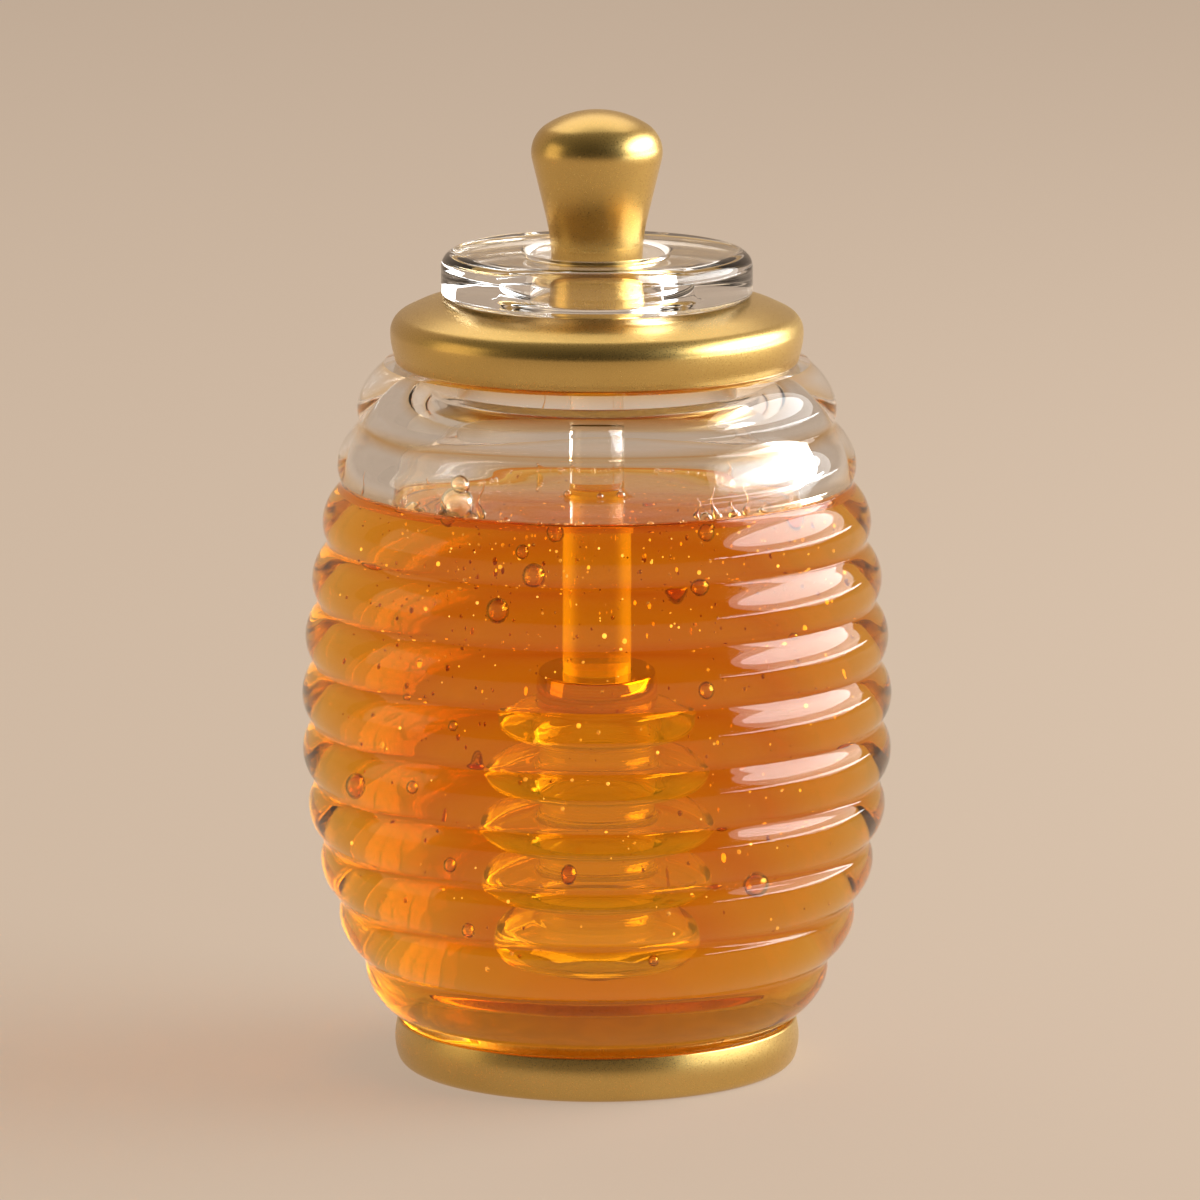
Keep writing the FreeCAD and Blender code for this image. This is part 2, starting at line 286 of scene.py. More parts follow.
def ribbed_wall_tree():
    """A wall turned from the ribbed line: round ribs hung on the beehive curve, with soft grooves."""
    sizes = ["Belly Radius", "Belly Height", "Foot Radius", "Foot Height", "Rim Radius", "Rim Height",
             "Outer Rib Depth", "Rib Pitch", "Rib Depth", "Groove Softness", "Inset", "Start", "End"]
    tree, size, calc = node_tree_with("ribbed wall", sizes, ["Around", "Upward"])
    grid = put(tree, "GeometryNodeMeshGrid", {
        "Size X": 1.0, "Size Y": 1.0, "Vertices X": calc("ADD", size["Around"], 1.0),
        "Vertices Y": calc("ADD", size["Upward"], 1.0),
    })
    spread = put(tree, "ShaderNodeSeparateXYZ", {"Vector": grid.outputs["UV Map"]})
    angle = calc("MULTIPLY", spread.outputs["X"], 2 * math.pi)
    height = calc("MULTIPLY_ADD", spread.outputs["Y"], calc("SUBTRACT", size["End"], size["Start"]),
                  size["Start"])
    crest = calc("SUBTRACT", beehive_radius(calc, size, height), size["Inset"])
    ribs_up = calc("DIVIDE", calc("SUBTRACT", height, size["Foot Height"]), size["Rib Pitch"])
    off_crest = calc("ABSOLUTE", calc("SUBTRACT", calc("FRACT", ribs_up), 0.5))
    half_chord = calc("MULTIPLY", size["Rib Pitch"], 0.5)
    rib_radius = calc("DIVIDE", calc("ADD", calc("MULTIPLY", half_chord, half_chord),
                                     calc("MULTIPLY", size["Rib Depth"], size["Rib Depth"])),
                      calc("MULTIPLY", size["Rib Depth"], 2.0))

    def drop(distance):
        """How far a rib's round line lies inside the beehive curve, this far from its crest."""
        square = calc("SUBTRACT", calc("MULTIPLY", rib_radius, rib_radius),
                      calc("MULTIPLY", distance, distance))
        return calc("SUBTRACT", rib_radius, calc("SQRT", calc("MAXIMUM", square, 0.0)))

    own = calc("MULTIPLY", off_crest, size["Rib Pitch"])
    next_rib = calc("SUBTRACT", size["Rib Pitch"], own)
    groove = calc("SMOOTH_MIN", drop(own), drop(next_rib), size["Groove Softness"])
    radius = calc("SUBTRACT", crest, groove)
    position = put(tree, "ShaderNodeCombineXYZ", {
        "X": calc("MULTIPLY", radius, calc("COSINE", angle)),
        "Y": calc("MULTIPLY", radius, calc("SINE", angle)), "Z": height,
    })
    wall = put(tree, "GeometryNodeSetPosition", {"Geometry": grid.outputs["Mesh"],
                                                 "Position": position.outputs[0]})
    closed = put(tree, "GeometryNodeMergeByDistance", {"Geometry": wall.outputs[0], "Distance": 1e-6})
    end_tree(tree, closed.outputs[0], size["Material"])
    return tree


wall_tree = ribbed_wall_tree()


def ribbed_wall(inset, depth, softness, start, end, steps, material):
    """A wall of the jar from one height to another, as a plain mesh."""
    return grown_mesh(wall_tree, {
        "Belly Radius": belly_radius, "Belly Height": belly_height, "Foot Radius": foot_radius,
        "Foot Height": foot_top, "Rim Radius": rim_radius, "Rim Height": jar_high.z,
        "Outer Rib Depth": rib_depth, "Rib Pitch": rib_pitch, "Rib Depth": depth,
        "Groove Softness": softness, "Inset": inset, "Start": start, "End": end,
        "Around": around_jar, "Upward": steps, "Material": material,
    })


def end_radii(mesh):
    """Radius of the lowest and of the highest ring of a wall."""
    rings = sorted((vertex.co.z, vertex.co.xy.length) for vertex in mesh.vertices)
    return rings[0][1], rings[-1][1]


def arc_between(start, end, bulge, count):
    """Points on the arc from one (radius, height) point to another that bulges to the right of the way."""
    start = Vector(start)
    end = Vector(end)
    chord = end - start
    side = Vector((chord.y, -chord.x)).normalized()
    radius = (chord.length ** 2 / 4 + bulge ** 2) / (2 * bulge)
    centre = (start + end) / 2 + side * (bulge - radius)
    opening = math.asin(chord.length / 2 / radius)
    first = math.atan2(start.y - centre.y, start.x - centre.x)
    points = []
    for part in range(count + 1):
        angle = first + 2 * opening * part / count
        points.append(centre + radius * Vector((math.cos(angle), math.sin(angle))))
    points[-1] = end
    return points


def jar_glass(name, ior, wave, ring_share, shine, groove_shade_colour):
    """Clear glass with the faint rings and waves of blowing, a bright polish and a few smears.

    The grooves carry a painted shade: a faintly darker tone on clear glass, an amber one over the honey."""
    material, tree, output, place = new_material(name)
    waves = put(tree, "ShaderNodeTexNoise", {"Vector": place, "Scale": 70.0, "Detail": 2.0})
    smear = put(tree, "ShaderNodeTexNoise", {"Vector": place, "Scale": 240.0, "Detail": 4.0})
    rough = put(tree, "ShaderNodeMapRange", {"Value": smear.outputs["Fac"], "From Min": 0.52,
                                             "From Max": 0.75, "To Min": 0.0, "To Max": 0.05})
    rings = put(tree, "ShaderNodeTexWave", {"Vector": place, "Scale": 55.0, "Distortion": 2.2, "Detail": 1.0,
                                            "Detail Scale": 0.6}, bands_direction="Z")
    height = put(tree, "ShaderNodeMath", {0: rings.outputs["Fac"], 1: ring_share, 2: waves.outputs["Fac"]},
                 operation="MULTIPLY_ADD")
    bump = put(tree, "ShaderNodeBump", {"Height": height.outputs[0], "Strength": wave, "Distance": 0.0004})
    spot = put(tree, "ShaderNodeSeparateXYZ", {"Vector": place})
    ribs_up = put(tree, "ShaderNodeMath", {0: spot.outputs["Z"], 1: foot_top}, operation="SUBTRACT")
    off_groove = put(tree, "ShaderNodeMath", {0: ribs_up.outputs[0], 1: rib_pitch / 2}, operation="PINGPONG")
    groove_shade_share = put(tree, "ShaderNodeMapRange", {"Value": off_groove.outputs[0], "From Min": 0.0018,
                                                "From Max": 0.0002, "To Min": 0.0, "To Max": 1.0})
    # Painted shade: the glass darkens towards each groove, to amber over the honey.
    grooves = put(tree, "ShaderNodeMix", {"Factor": groove_shade_share.outputs[0], 6: (1, 0.995, 0.985, 1),
                                          7: groove_shade_colour}, data_type="RGBA")
    glass = put(tree, "ShaderNodeBsdfPrincipled", {
        "Base Color": grooves.outputs[2], "Roughness": rough.outputs[0], "IOR": ior,
        "Transmission Weight": 1.0, "Normal": bump.outputs[0],
        "Coat Weight": shine, "Coat IOR": 1.5, "Coat Roughness": 0.02,
    })
    tree.links.new(glass.outputs[0], output.inputs["Surface"])
    return material


def wetted_glass():
    """The inside of the glass where honey wets it: the border between the two can't be seen."""
    material, tree, output, place = new_material("glass wetted by honey")
    film = put(tree, "ShaderNodeTexNoise", {"Vector": place, "Scale": 90.0})
    tint = put(tree, "ShaderNodeMapRange", {"Value": film.outputs["Fac"], "To Min": 0.985, "To Max": 1.0})
    clear = put(tree, "ShaderNodeBsdfTransparent", {"Color": tint.outputs[0]})
    tree.links.new(clear.outputs[0], output.inputs["Surface"])
    return material


# The last colour given to each glass is the painted shade in its grooves.
clear_glass = jar_glass("clear glass", 1.25, 0.13, 3.0, 0.4, (0.96, 0.94, 0.91, 1))
glass_on_honey = jar_glass("glass over honey", 1.035, 0.04, 0.5, 0.75, (0.90, 0.62, 0.30, 1))
wet_glass = wetted_glass()

outside = ribbed_wall(0, rib_depth, groove_softness, foot_top, jar_high.z - hair, rib_count * steps_per_rib,
                      clear_glass)
lowest_groove = foot_top + first_inner_rib * rib_pitch
highest_groove = foot_top + (last_inner_rib + 1) * rib_pitch
inside = ribbed_wall(glass_wall, inner_rib_depth, inner_groove_softness, lowest_groove, highest_groove,
                     (last_inner_rib - first_inner_rib + 1) * steps_per_inner_rib, clear_glass)
outside_foot, outside_rim = end_radii(outside)
inside_low, inside_high = end_radii(inside)


def glass_floor_line(depth, radius, height):
    """Outline of the round inside bottom, this deep in the glass, out to the lowest inner groove."""
    flat = radius - glass_floor_rounding
    points = [Vector((0, glass_floor - depth))]
    for part in range(13):
        angle = math.pi / 2 * part / 12
        points.append(Vector((flat + (radius - flat) * math.sin(angle),
                              height - (height - glass_floor + depth) * math.cos(angle))))
    return points


jar_shape = bmesh.new()
jar_shape.from_mesh(outside)
jar_shape.from_mesh(inside)
turn_outline(jar_shape, rounded_outline([
    (0, jar_low.z + hair, 0), (outside_foot, jar_low.z + hair, glass_edge), (outside_foot, foot_top, 0),
]), around_jar)
turn_outline(jar_shape, rounded_outline([
    (outside_rim, jar_high.z - hair, 0), (mouth_radius, jar_high.z - hair, glass_edge),
    (mouth_radius, mouth_bottom, 0),
]), around_jar)
shoulder = arc_between((inside_high, highest_groove), (mouth_radius, mouth_bottom), shoulder_bulge, 20)
turn_outline(jar_shape, shoulder, around_jar)
turn_outline(jar_shape, glass_floor_line(0, inside_low, lowest_groove), around_jar)
jar = finished_piece("jar_glass", jar_shape, [clear_glass, glass_on_honey, wet_glass], ["jar"])
for face in jar.data.polygons:
    radius = face.center.xy.length
    height = face.center.z
    inward = face.normal.xy.dot(face.center.xy) < 0 or (face.normal.z > 0.7 and height < lowest_groove)
    if inward and height < honey_high.z:
        face.material_index = 2
    elif not inward and lowest_groove < height < highest_groove:
        face.material_index = 1


# ---- Honey dipper head ----
# The head of the glass honey dipper: five round discs on a thick core, pressed from clear glass, with
# soft edges, so that honey clings between the discs. It hangs in the honey under the metal collar.
head_low, head_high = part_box("dipper_head")
disc_count = 5
disc_pitch = 0.0089
disc_thickness = 0.0052
disc_rounding = 0.0014
rim_bulge = 0.0004
rim_rounding = 0.0060
head_radius = 0.0184
head_belly_drop = 0.0215
head_taper = 0.0350
core_radius = 0.0087
core_rounding = 0.0017
tip_thickness = 0.0064
tip_flat_radius = 0.0072
tip_rounding = 0.0057
around_dipper = 128


def dipper_head_line(inset):
    """Outline of the dipper head from its top to its tip, this far inside its surface."""
    top = head_high.z - inset
    corners = []
    for disc in range(disc_count):
        upper = head_high.z - disc * disc_pitch
        thickness = tip_thickness if disc == disc_count - 1 else disc_thickness
        off_belly = (upper - thickness / 2) - (head_high.z - head_belly_drop)
        radius = head_radius * math.sqrt(1 - (off_belly / head_taper) ** 2)
        corners.append((radius - rim_bulge - inset, upper - inset, disc_rounding))
        corners.append((radius - inset, upper - thickness / 2, rim_rounding))
        corners.append((radius - rim_bulge - inset, upper - thickness + inset, disc_rounding))
        if disc < disc_count - 1:
            corners.append((core_radius - inset, upper - thickness + inset, core_rounding))
            corners.append((core_radius - inset, upper - disc_pitch - inset, core_rounding))
    corners.append((tip_flat_radius, head_low.z + inset, tip_rounding))
    corners.append((0, head_low.z + inset, 0))
    return top, corners


def dipper_glass(name, ior, body, shine, shine_ior, painted_glow, painted_edge_glow):
    """Pressed glass of the dipper, with faint flow lines and a fire-polished skin.

    In the honey it glows with painted light, a little in the middle and most at its edges."""
    material, tree, output, place = new_material(name)
    flow = put(tree, "ShaderNodeTexNoise", {"Vector": place, "Scale": 120.0, "Detail": 2.0,
                                            "Distortion": 0.6})
    bump = put(tree, "ShaderNodeBump", {"Height": flow.outputs["Fac"], "Strength": 0.15, "Distance": 0.0003})
    turned_away = put(tree, "ShaderNodeLayerWeight", {"Blend": 0.5})
    painted_glow_strength = put(tree, "ShaderNodeMapRange", {"Value": turned_away.outputs["Facing"], "From Min": 0.10,
                                                "From Max": 0.40, "To Min": painted_glow, "To Max": painted_edge_glow},
                   interpolation_type="SMOOTHSTEP")
    glass = put(tree, "ShaderNodeBsdfPrincipled", {
        "Base Color": body, "Roughness": 0.0, "IOR": ior, "Transmission Weight": 1.0,
        "Normal": bump.outputs[0], "Coat Weight": shine, "Coat IOR": shine_ior, "Coat Roughness": 0.03,
        "Emission Color": (1, 0.62, 0.05, 1), "Emission Strength": painted_glow_strength.outputs[0],
    })
    tree.links.new(glass.outputs[0], output.inputs["Surface"])
    return material


# Both glasses in the honey glow with painted light, weakly in the middle and most at the edges.
sunk_glass = dipper_glass("dipper glass in honey", 1.07, (1, 0.94, 0.76, 1), 0.3, 1.5, 0.01, 0.05)
sunk_rim = dipper_glass("dipper rim in honey", 1.13, (1, 0.94, 0.76, 1), 0.9, 2.3, 0.02, 0.12)
head_top, head_corners = dipper_head_line(0)
head_shape = bmesh.new()
turn_outline(head_shape, rounded_outline([(0, head_top, 0)] + head_corners), around_dipper)
head = finished_piece("dipper_head_glass", head_shape, [sunk_glass, sunk_rim], ["dipper_head"])
for face in head.data.polygons:
    if abs(face.normal.z) < 0.7:
        face.material_index = 1


# ---- Dipper collar ----
# A short polished metal sleeve that joins the rod to the head of the dipper. It is turned and buffed
# bright, with a small rounding at each edge. It is drawn solid below the shallow seat of the rod.
collar_low, collar_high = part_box("dipper_collar")
rod_low, rod_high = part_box("dipper_rod")
rod_clearance = 0.0001
collar_bore = rod_high.x + rod_clearance
collar_edge = 0.0004
collar_bulge = 0.0005
collar_bulge_rounding = 0.0100
rod_seat_depth = 0.0008
rod_seat = collar_high.z - rod_seat_depth


def polished_gold(name, colour):
    """Bright buffed gold-coloured metal with hair-fine turning marks."""
    material, tree, output, place = new_material(name)
    marks = put(tree, "ShaderNodeTexWave", {"Vector": place, "Scale": 900.0, "Distortion": 3.0,
                                            "Detail": 2.0}, bands_direction="Z")
    rough = put(tree, "ShaderNodeMapRange", {"Value": marks.outputs["Fac"], "To Min": 0.05, "To Max": 0.12})
    metal = put(tree, "ShaderNodeBsdfPrincipled", {
        "Base Color": colour, "Metallic": 1.0, "Roughness": rough.outputs[0],
        "Coat Weight": 1.0, "Coat IOR": 2.2, "Coat Roughness": 0.03,
    })
    tree.links.new(metal.outputs[0], output.inputs["Surface"])
    return material


collar_shape = bmesh.new()
turn_outline(collar_shape, rounded_outline([
    (0, collar_low.z, 0), (collar_high.x - collar_bulge, collar_low.z, collar_edge),
    (collar_high.x, (collar_low.z + collar_high.z) / 2, collar_bulge_rounding),
    (collar_high.x - collar_bulge, collar_high.z, collar_edge), (collar_bore, collar_high.z, 0),
    (collar_bore, rod_seat, 0), (0, rod_seat, 0),
]), around_dipper)
collar_side = polished_gold("polished gold", (0.90, 0.68, 0.30, 1))
# The top faces get a whiter copy of the gold: a painted highlight.
collar_painted_top = polished_gold("polished gold painted bright top", (1.0, 0.95, 0.80, 1))
collar = finished_piece("dipper_collar_polished", collar_shape, [collar_side, collar_painted_top],
                        ["dipper_collar"])
for face in collar.data.polygons:
    if face.normal.z > 0.7:
        face.material_index = 1


# ---- Dipper rod ----
# The straight drawn glass rod of the dipper, solid, with a fire-polished skin. Its top sits in a socket
# under the lid. Its foot goes through the collar to the head, but is drawn only as far as its seat.
air_glass = dipper_glass("dipper glass in air", 1.45, (1, 0.99, 0.97, 1), 0.3, 1.5, 0.0, 0.0)
# The rod in the honey glows with painted light, most at its edges.
sunk_rod = dipper_glass("dipper rod in honey", 1.25, (1, 0.97, 0.80, 1), 1.0, 2.0, 0.01, 0.34)
rod_shape = bmesh.new()
rod_line = [(0, rod_seat + hair, 0), (rod_high.x, rod_seat + hair, 0), (rod_high.x, honey_high.z, 0),
            (rod_high.x, rod_high.z - hair, 0), (0, rod_high.z - hair, 0)]
turn_outline(rod_shape, rounded_outline(rod_line), around_dipper)
rod = finished_piece("dipper_rod_glass", rod_shape, [air_glass, sunk_rod], ["dipper_rod"])
for face in rod.data.polygons:
    if face.center.z < honey_high.z:
        face.material_index = 1


# ---- Honey ----
# Runny amber honey that fills the jar to the shoulder and wets the glass, so it creeps a little up the
# wall and up the rod. It reaches over half way into the glass, so that no air gap shows and the ribs
# look filled with amber.
honey_reach = 0.0014
dipper_reach = 0.0001
creep_up_wall = 0.0009
creep_up_rod = 0.0020
creep_width = 0.0030
level_drop = 0.0004
honey_wall_steps = 126
surface_depth = 0.0006
near_dipper = 0.0002


def honey_material():
    """Clear amber honey: colour from depth, a soft cloudiness and a glossy skin."""
    material, tree, output, place = new_material("amber honey")
    cloud = put(tree, "ShaderNodeTexNoise", {"Vector": place, "Scale": 45.0, "Detail": 3.0})
    bump = put(tree, "ShaderNodeBump", {"Height": cloud.outputs["Fac"], "Strength": 0.10, "Distance": 0.0006})
    body = put(tree, "ShaderNodeBsdfPrincipled", {
        "Base Color": (1.0, 0.85, 0.36, 1), "Roughness": 0.0, "IOR": 1.02, "Transmission Weight": 1.0,
        "Normal": bump.outputs[0], "Coat Weight": 0.15, "Coat IOR": 1.4, "Coat Roughness": 0.04,
    })
    ripple = put(tree, "ShaderNodeTexNoise", {"Vector": place, "Scale": 120.0, "Detail": 2.0})
    swell = put(tree, "ShaderNodeBump", {"Height": ripple.outputs["Fac"], "Strength": 0.25,
                                         "Distance": 0.0008})
    mirror = put(tree, "ShaderNodeBsdfPrincipled", {
        "Base Color": (0.92, 0.50, 0.06, 1), "Roughness": 0.0, "IOR": 1.10, "Transmission Weight": 1.0,
        "Normal": swell.outputs[0], "Coat Weight": 0.35, "Coat IOR": 1.5, "Coat Roughness": 0.0,
    })
    top = put(tree, "ShaderNodeAttribute", attribute_name="open_surface")
    body = put(tree, "ShaderNodeMixShader", {0: top.outputs["Fac"], 1: body.outputs[0], 2: mirror.outputs[0]})
    clear = put(tree, "ShaderNodeBsdfTransparent", {"Color": (1, 1, 1, 1)})
    beside = put(tree, "ShaderNodeAttribute", attribute_name="beside_dipper")
    skin = put(tree, "ShaderNodeMixShader", {0: beside.outputs["Fac"], 1: body.outputs[0],
                                             2: clear.outputs[0]})
    depth = put(tree, "ShaderNodeVolumeAbsorption", {"Color": (0.965, 0.765, 0.0, 1), "Density": 60.0})
    tree.links.new(skin.outputs[0], output.inputs["Surface"])
    tree.links.new(depth.outputs[0], output.inputs["Volume"])
    return material


honey_wall = ribbed_wall(glass_wall - honey_reach, inner_rib_depth, inner_groove_softness, lowest_groove,
                         honey_high.z + creep_up_wall - level_drop, honey_wall_steps, clear_glass)
honey_foot, honey_edge = end_radii(honey_wall)
honey_shape = bmesh.new()
honey_shape.from_mesh(honey_wall)
turn_outline(honey_shape, glass_floor_line(honey_reach, honey_foot, lowest_groove), around_jar)
surface_line = []
for part in range(9):
    share = part / 8
    surface_line.append((honey_edge - creep_width * share,
                         honey_high.z - level_drop + creep_up_wall * (1 - share) ** 3))
rod_face = rod_high.x - dipper_reach
for part in range(9):
    share = part / 8
    surface_line.append((rod_face + creep_width * (1 - share),
                         honey_high.z - level_drop + creep_up_rod * share ** 3))
turn_outline(honey_shape, surface_line, around_jar)
head_top, head_corners = dipper_head_line(dipper_reach)
turn_outline(honey_shape, rounded_outline([
    (rod_face, surface_line[-1][1], 0), (rod_face, collar_high.z - dipper_reach, 0),
    (collar_high.x - dipper_reach, collar_high.z - dipper_reach, collar_edge),
    (collar_high.x - dipper_reach, head_top, 0),
] + head_corners), around_jar)
honey = finished_piece("honey_fill", honey_shape, [honey_material()], ["honey"])
beside = honey.data.attributes.new("beside_dipper", "FLOAT", "FACE")
open_top = honey.data.attributes.new("open_surface", "FLOAT", "FACE")
for face in honey.data.polygons:
    middle = face.center
    by_dipper = middle.xy.length < head_radius + near_dipper and middle.z > head_low.z - near_dipper
    beside.data[face.index].value = float(by_dipper and middle.z < honey_high.z - surface_depth)
    open_top.data[face.index].value = float(middle.z > honey_high.z - surface_depth and face.normal.z > 0.3)


# ---- Bubbles in the honey ----
# Air bubbles that rose slowly and stayed: about two dozen large ones near the wall and on the discs,
# listed one by one, and a great many fine ones, thickest round the rod and under the surface.
large_bubbles = [
    (-9.9, -33, 86.5, 1.9), (-15.6, -33, 80.7, 1.9), (-6.5, -31, 92.6, 1.4), (-11.7, -32, 90.0, 1.1),
    (17.2, -30, 92.6, 1.4), (16.2, -33, 84.5, 1.6), (17.2, -34, 68.2, 1.3), (25.2, -30, 35.8, 2.2),
    (-38.0, -15, 49.0, 1.7), (-29.2, -30, 51.5, 1.0), (-23.2, -31, 39.3, 1.1), (-20.3, -28, 28.2, 1.1),
    (-22.7, -34, 62.2, 0.8), (-4.4, -23, 36.5, 1.3), (19.3, -2, 39.5, 1.2), (18.2, -3, 30.8, 1.2),
    (-30.0, -28, 66.0, 0.7), (9.0, -36, 24.5, 0.9), (31.0, -24, 75.0, 0.8), (12.0, 34, 70.0, 1.8),
    (-18.0, 33, 45.0, 1.5), (30.0, 22, 84.0, 1.4), (-34.0, 12, 80.0, 1.6), (38.0, 4, 52.0, 1.5),
    (-25.0, 28, 88.0, 1.1), (5.0, 36, 33.0, 1.3),
]


def bubble_air(name, clear, tinted, painted_glow):
    """Air in honey: a clear ball that bends what lies behind it, with a glossy skin that glows in spots with
    painted light.
    """
    material, tree, output, place = new_material(name)
    skin = put(tree, "ShaderNodeTexNoise", {"Vector": place, "Scale": 160.0})
    share = put(tree, "ShaderNodeMapRange", {"Value": skin.outputs["Fac"], "From Min": 0.40,
                                             "From Max": 0.60})
    tint = put(tree, "ShaderNodeMix", {"Factor": share.outputs[0], 6: clear, 7: tinted}, data_type="RGBA")
    air = put(tree, "ShaderNodeBsdfPrincipled", {
        "Base Color": tint.outputs[2], "Roughness": 0.0, "IOR": 1.50, "Transmission Weight": 1.0,
        "Coat Weight": 1.0, "Coat IOR": 1.8, "Coat Roughness": 0.02,
        "Emission Color": (1, 0.70, 0.28, 1),
    })
    # Painted light: the skin glows in spots, as painted sparkles.
    painted_sparkle = put(tree, "ShaderNodeMapRange", {"Value": skin.outputs["Fac"], "From Min": 0.50,
                                               "From Max": 0.40, "To Max": painted_glow})
    tree.links.new(painted_sparkle.outputs[0], air.inputs["Emission Strength"])
    tree.links.new(air.outputs[0], output.inputs["Surface"])
    return material


def seed_tree():
    """Fine bubbles strewn through the honey between the dipper and the wall, more of them high up."""
    sizes = ["Belly Radius", "Belly Height", "Foot Radius", "Foot Height", "Rim Radius", "Rim Height",
             "Outer Rib Depth", "Wall Gap", "Inner Radius", "Bottom", "Top", "Smallest", "Largest"]
    tree, size, calc = node_tree_with("fine bubbles", sizes, ["Count", "Seed"])

    def chance(offset):
        """A random number from 0 to 1 for each bubble."""
        seed = calc("ADD", size["Seed"], offset)
        return put(tree, "FunctionNodeRandomValue", {"Seed": seed}, data_type="FLOAT").outputs[1]

    rise = calc("POWER", chance(0), 0.62)
    height = calc("MULTIPLY_ADD", rise, calc("SUBTRACT", size["Top"], size["Bottom"]), size["Bottom"])
    wall = calc("SUBTRACT", beehive_radius(calc, size, height), size["Wall Gap"])
    inner = calc("MULTIPLY", size["Inner Radius"], size["Inner Radius"])
    outer = calc("MULTIPLY", wall, wall)
    square = calc("MULTIPLY_ADD", chance(1), calc("SUBTRACT", outer, inner), inner)
    radius = calc("SQRT", square)
    angle = calc("MULTIPLY", chance(2), 2 * math.pi)
    place = put(tree, "ShaderNodeCombineXYZ", {
        "X": calc("MULTIPLY", radius, calc("COSINE", angle)),
        "Y": calc("MULTIPLY", radius, calc("SINE", angle)), "Z": height,
    })
    points = put(tree, "GeometryNodePoints", {"Count": size["Count"], "Position": place.outputs[0]})
    ball = put(tree, "GeometryNodeMeshIcoSphere", {"Radius": 1.0, "Subdivisions": 2})
    smooth = put(tree, "GeometryNodeSetShadeSmooth", {"Geometry": ball.outputs[0]})
    growth = calc("POWER", chance(3), 3.0)
    scale = calc("MULTIPLY_ADD", growth, calc("SUBTRACT", size["Largest"], size["Smallest"]),
                 size["Smallest"])
    strewn = put(tree, "GeometryNodeInstanceOnPoints", {
        "Points": points.outputs[0], "Instance": smooth.outputs[0], "Scale": scale,
    })
    end_tree(tree, strewn.outputs[0], size["Material"])
    return tree


bubble_skin = bubble_air("bubble", (1, 0.78, 0.45, 1), (0.90, 0.58, 0.24, 1), 0.0)
# The fine bubbles and the froth glow in spots with painted light.
seed_skin = bubble_air("fine bubble", (1, 0.75, 0.35, 1), (0.45, 0.18, 0.02, 1), 0.8)


def add_bubbles(shape, bubbles, height_share, skin_share):
    """Hollow balls at (across, back, up, radius) in mm, a little taller than wide, with a thick skin."""
    for across, back, up, size in bubbles:
        for share in (1, 1 - skin_share):
            ball = bmesh.ops.create_icosphere(shape, subdivisions=3, radius=size * share / 1000)
            for vertex in ball["verts"]:
                vertex.co.z *= height_share
                vertex.co += Vector((across, back, up)) / 1000
            if share < 1:
                faces = {face for vertex in ball["verts"] for face in vertex.link_faces}
                bmesh.ops.reverse_faces(shape, faces=list(faces))


bubble_shape = bmesh.new()
add_bubbles(bubble_shape, large_bubbles, height_share=1.05, skin_share=0.22)
strewn_bubbles = seed_tree()


def fine_bubbles(inner_radius, wall_gap, bottom, top, smallest, largest, count, seed):
    """Fine bubbles between two radii and two heights, as a plain mesh."""
    return grown_mesh(strewn_bubbles, {
        "Belly Radius": belly_radius, "Belly Height": belly_height, "Foot Radius": foot_radius,
        "Foot Height": foot_top, "Rim Radius": rim_radius, "Rim Height": jar_high.z,
        "Outer Rib Depth": rib_depth, "Wall Gap": wall_gap, "Inner Radius": inner_radius, "Bottom": bottom,
        "Top": top, "Smallest": smallest, "Largest": largest, "Count": count, "Seed": seed,
        "Material": seed_skin,
    })


seed_shape = bmesh.new()
seed_shape.from_mesh(fine_bubbles(inner_radius=0.0200, wall_gap=0.0050, bottom=0.0185,
                                  top=honey_high.z - 0.0010, smallest=0.00012, largest=0.00042,
                                  count=700, seed=4))
seed_shape.from_mesh(fine_bubbles(inner_radius=0.0064, wall_gap=0.0060, bottom=0.0650,
                                  top=honey_high.z - 0.0010, smallest=0.00012, largest=0.00032,
                                  count=420, seed=11))
finished_piece("honey_bubbles", bubble_shape, [bubble_skin], [], hollow=True)
finished_piece("fine_bubbles", seed_shape, [seed_skin], [])


# ---- Froth at the surface ----
# Bubbles that have reached the surface and gather where it meets the glass and the rod. One big old
# bubble at the left of the front clings to the wall, with a smaller one on top of it.
froth_width = 0.0012
froth_edge = honey_edge - 0.0016
froth_shape = bmesh.new()
froth_shape.from_mesh(fine_bubbles(inner_radius=froth_edge - froth_width, wall_gap=0.0058,
                                   bottom=honey_high.z - 0.0006, top=honey_high.z + 0.0002,
                                   smallest=0.00020, largest=0.00075, count=150, seed=21))
add_bubbles(froth_shape, [
    (-22.6, -29.4, 97.4, 2.5), (-22.0, -29.8, 100.6, 1.4), (-23.4, -29.0, 94.8, 1.3),
    (-20.2, -31.0, 95.4, 0.9), (-24.9, -28.2, 95.3, 0.9), (-31.0, -21.6, 95.3, 1.0),
    (-29.0, -24.2, 95.4, 0.7), (17.6, -32.4, 95.3, 1.1), (19.6, -31.2, 95.5, 0.8),
    (22.4, -29.6, 95.4, 1.0), (27.0, -25.6, 95.4, 0.7), (4.6, -4.6, 95.9, 0.9),
    (-5.6, -3.4, 96.0, 0.8), (0.6, -6.6, 95.8, 0.7),
], height_share=1.15, skin_share=0.16)
# The froth glows in spots with painted light.
froth_skin = bubble_air("froth", (1, 0.94, 0.82, 1), (1, 0.82, 0.60, 1), 0.15)
finished_piece("surface_froth", froth_shape, [froth_skin], [], hollow=True)


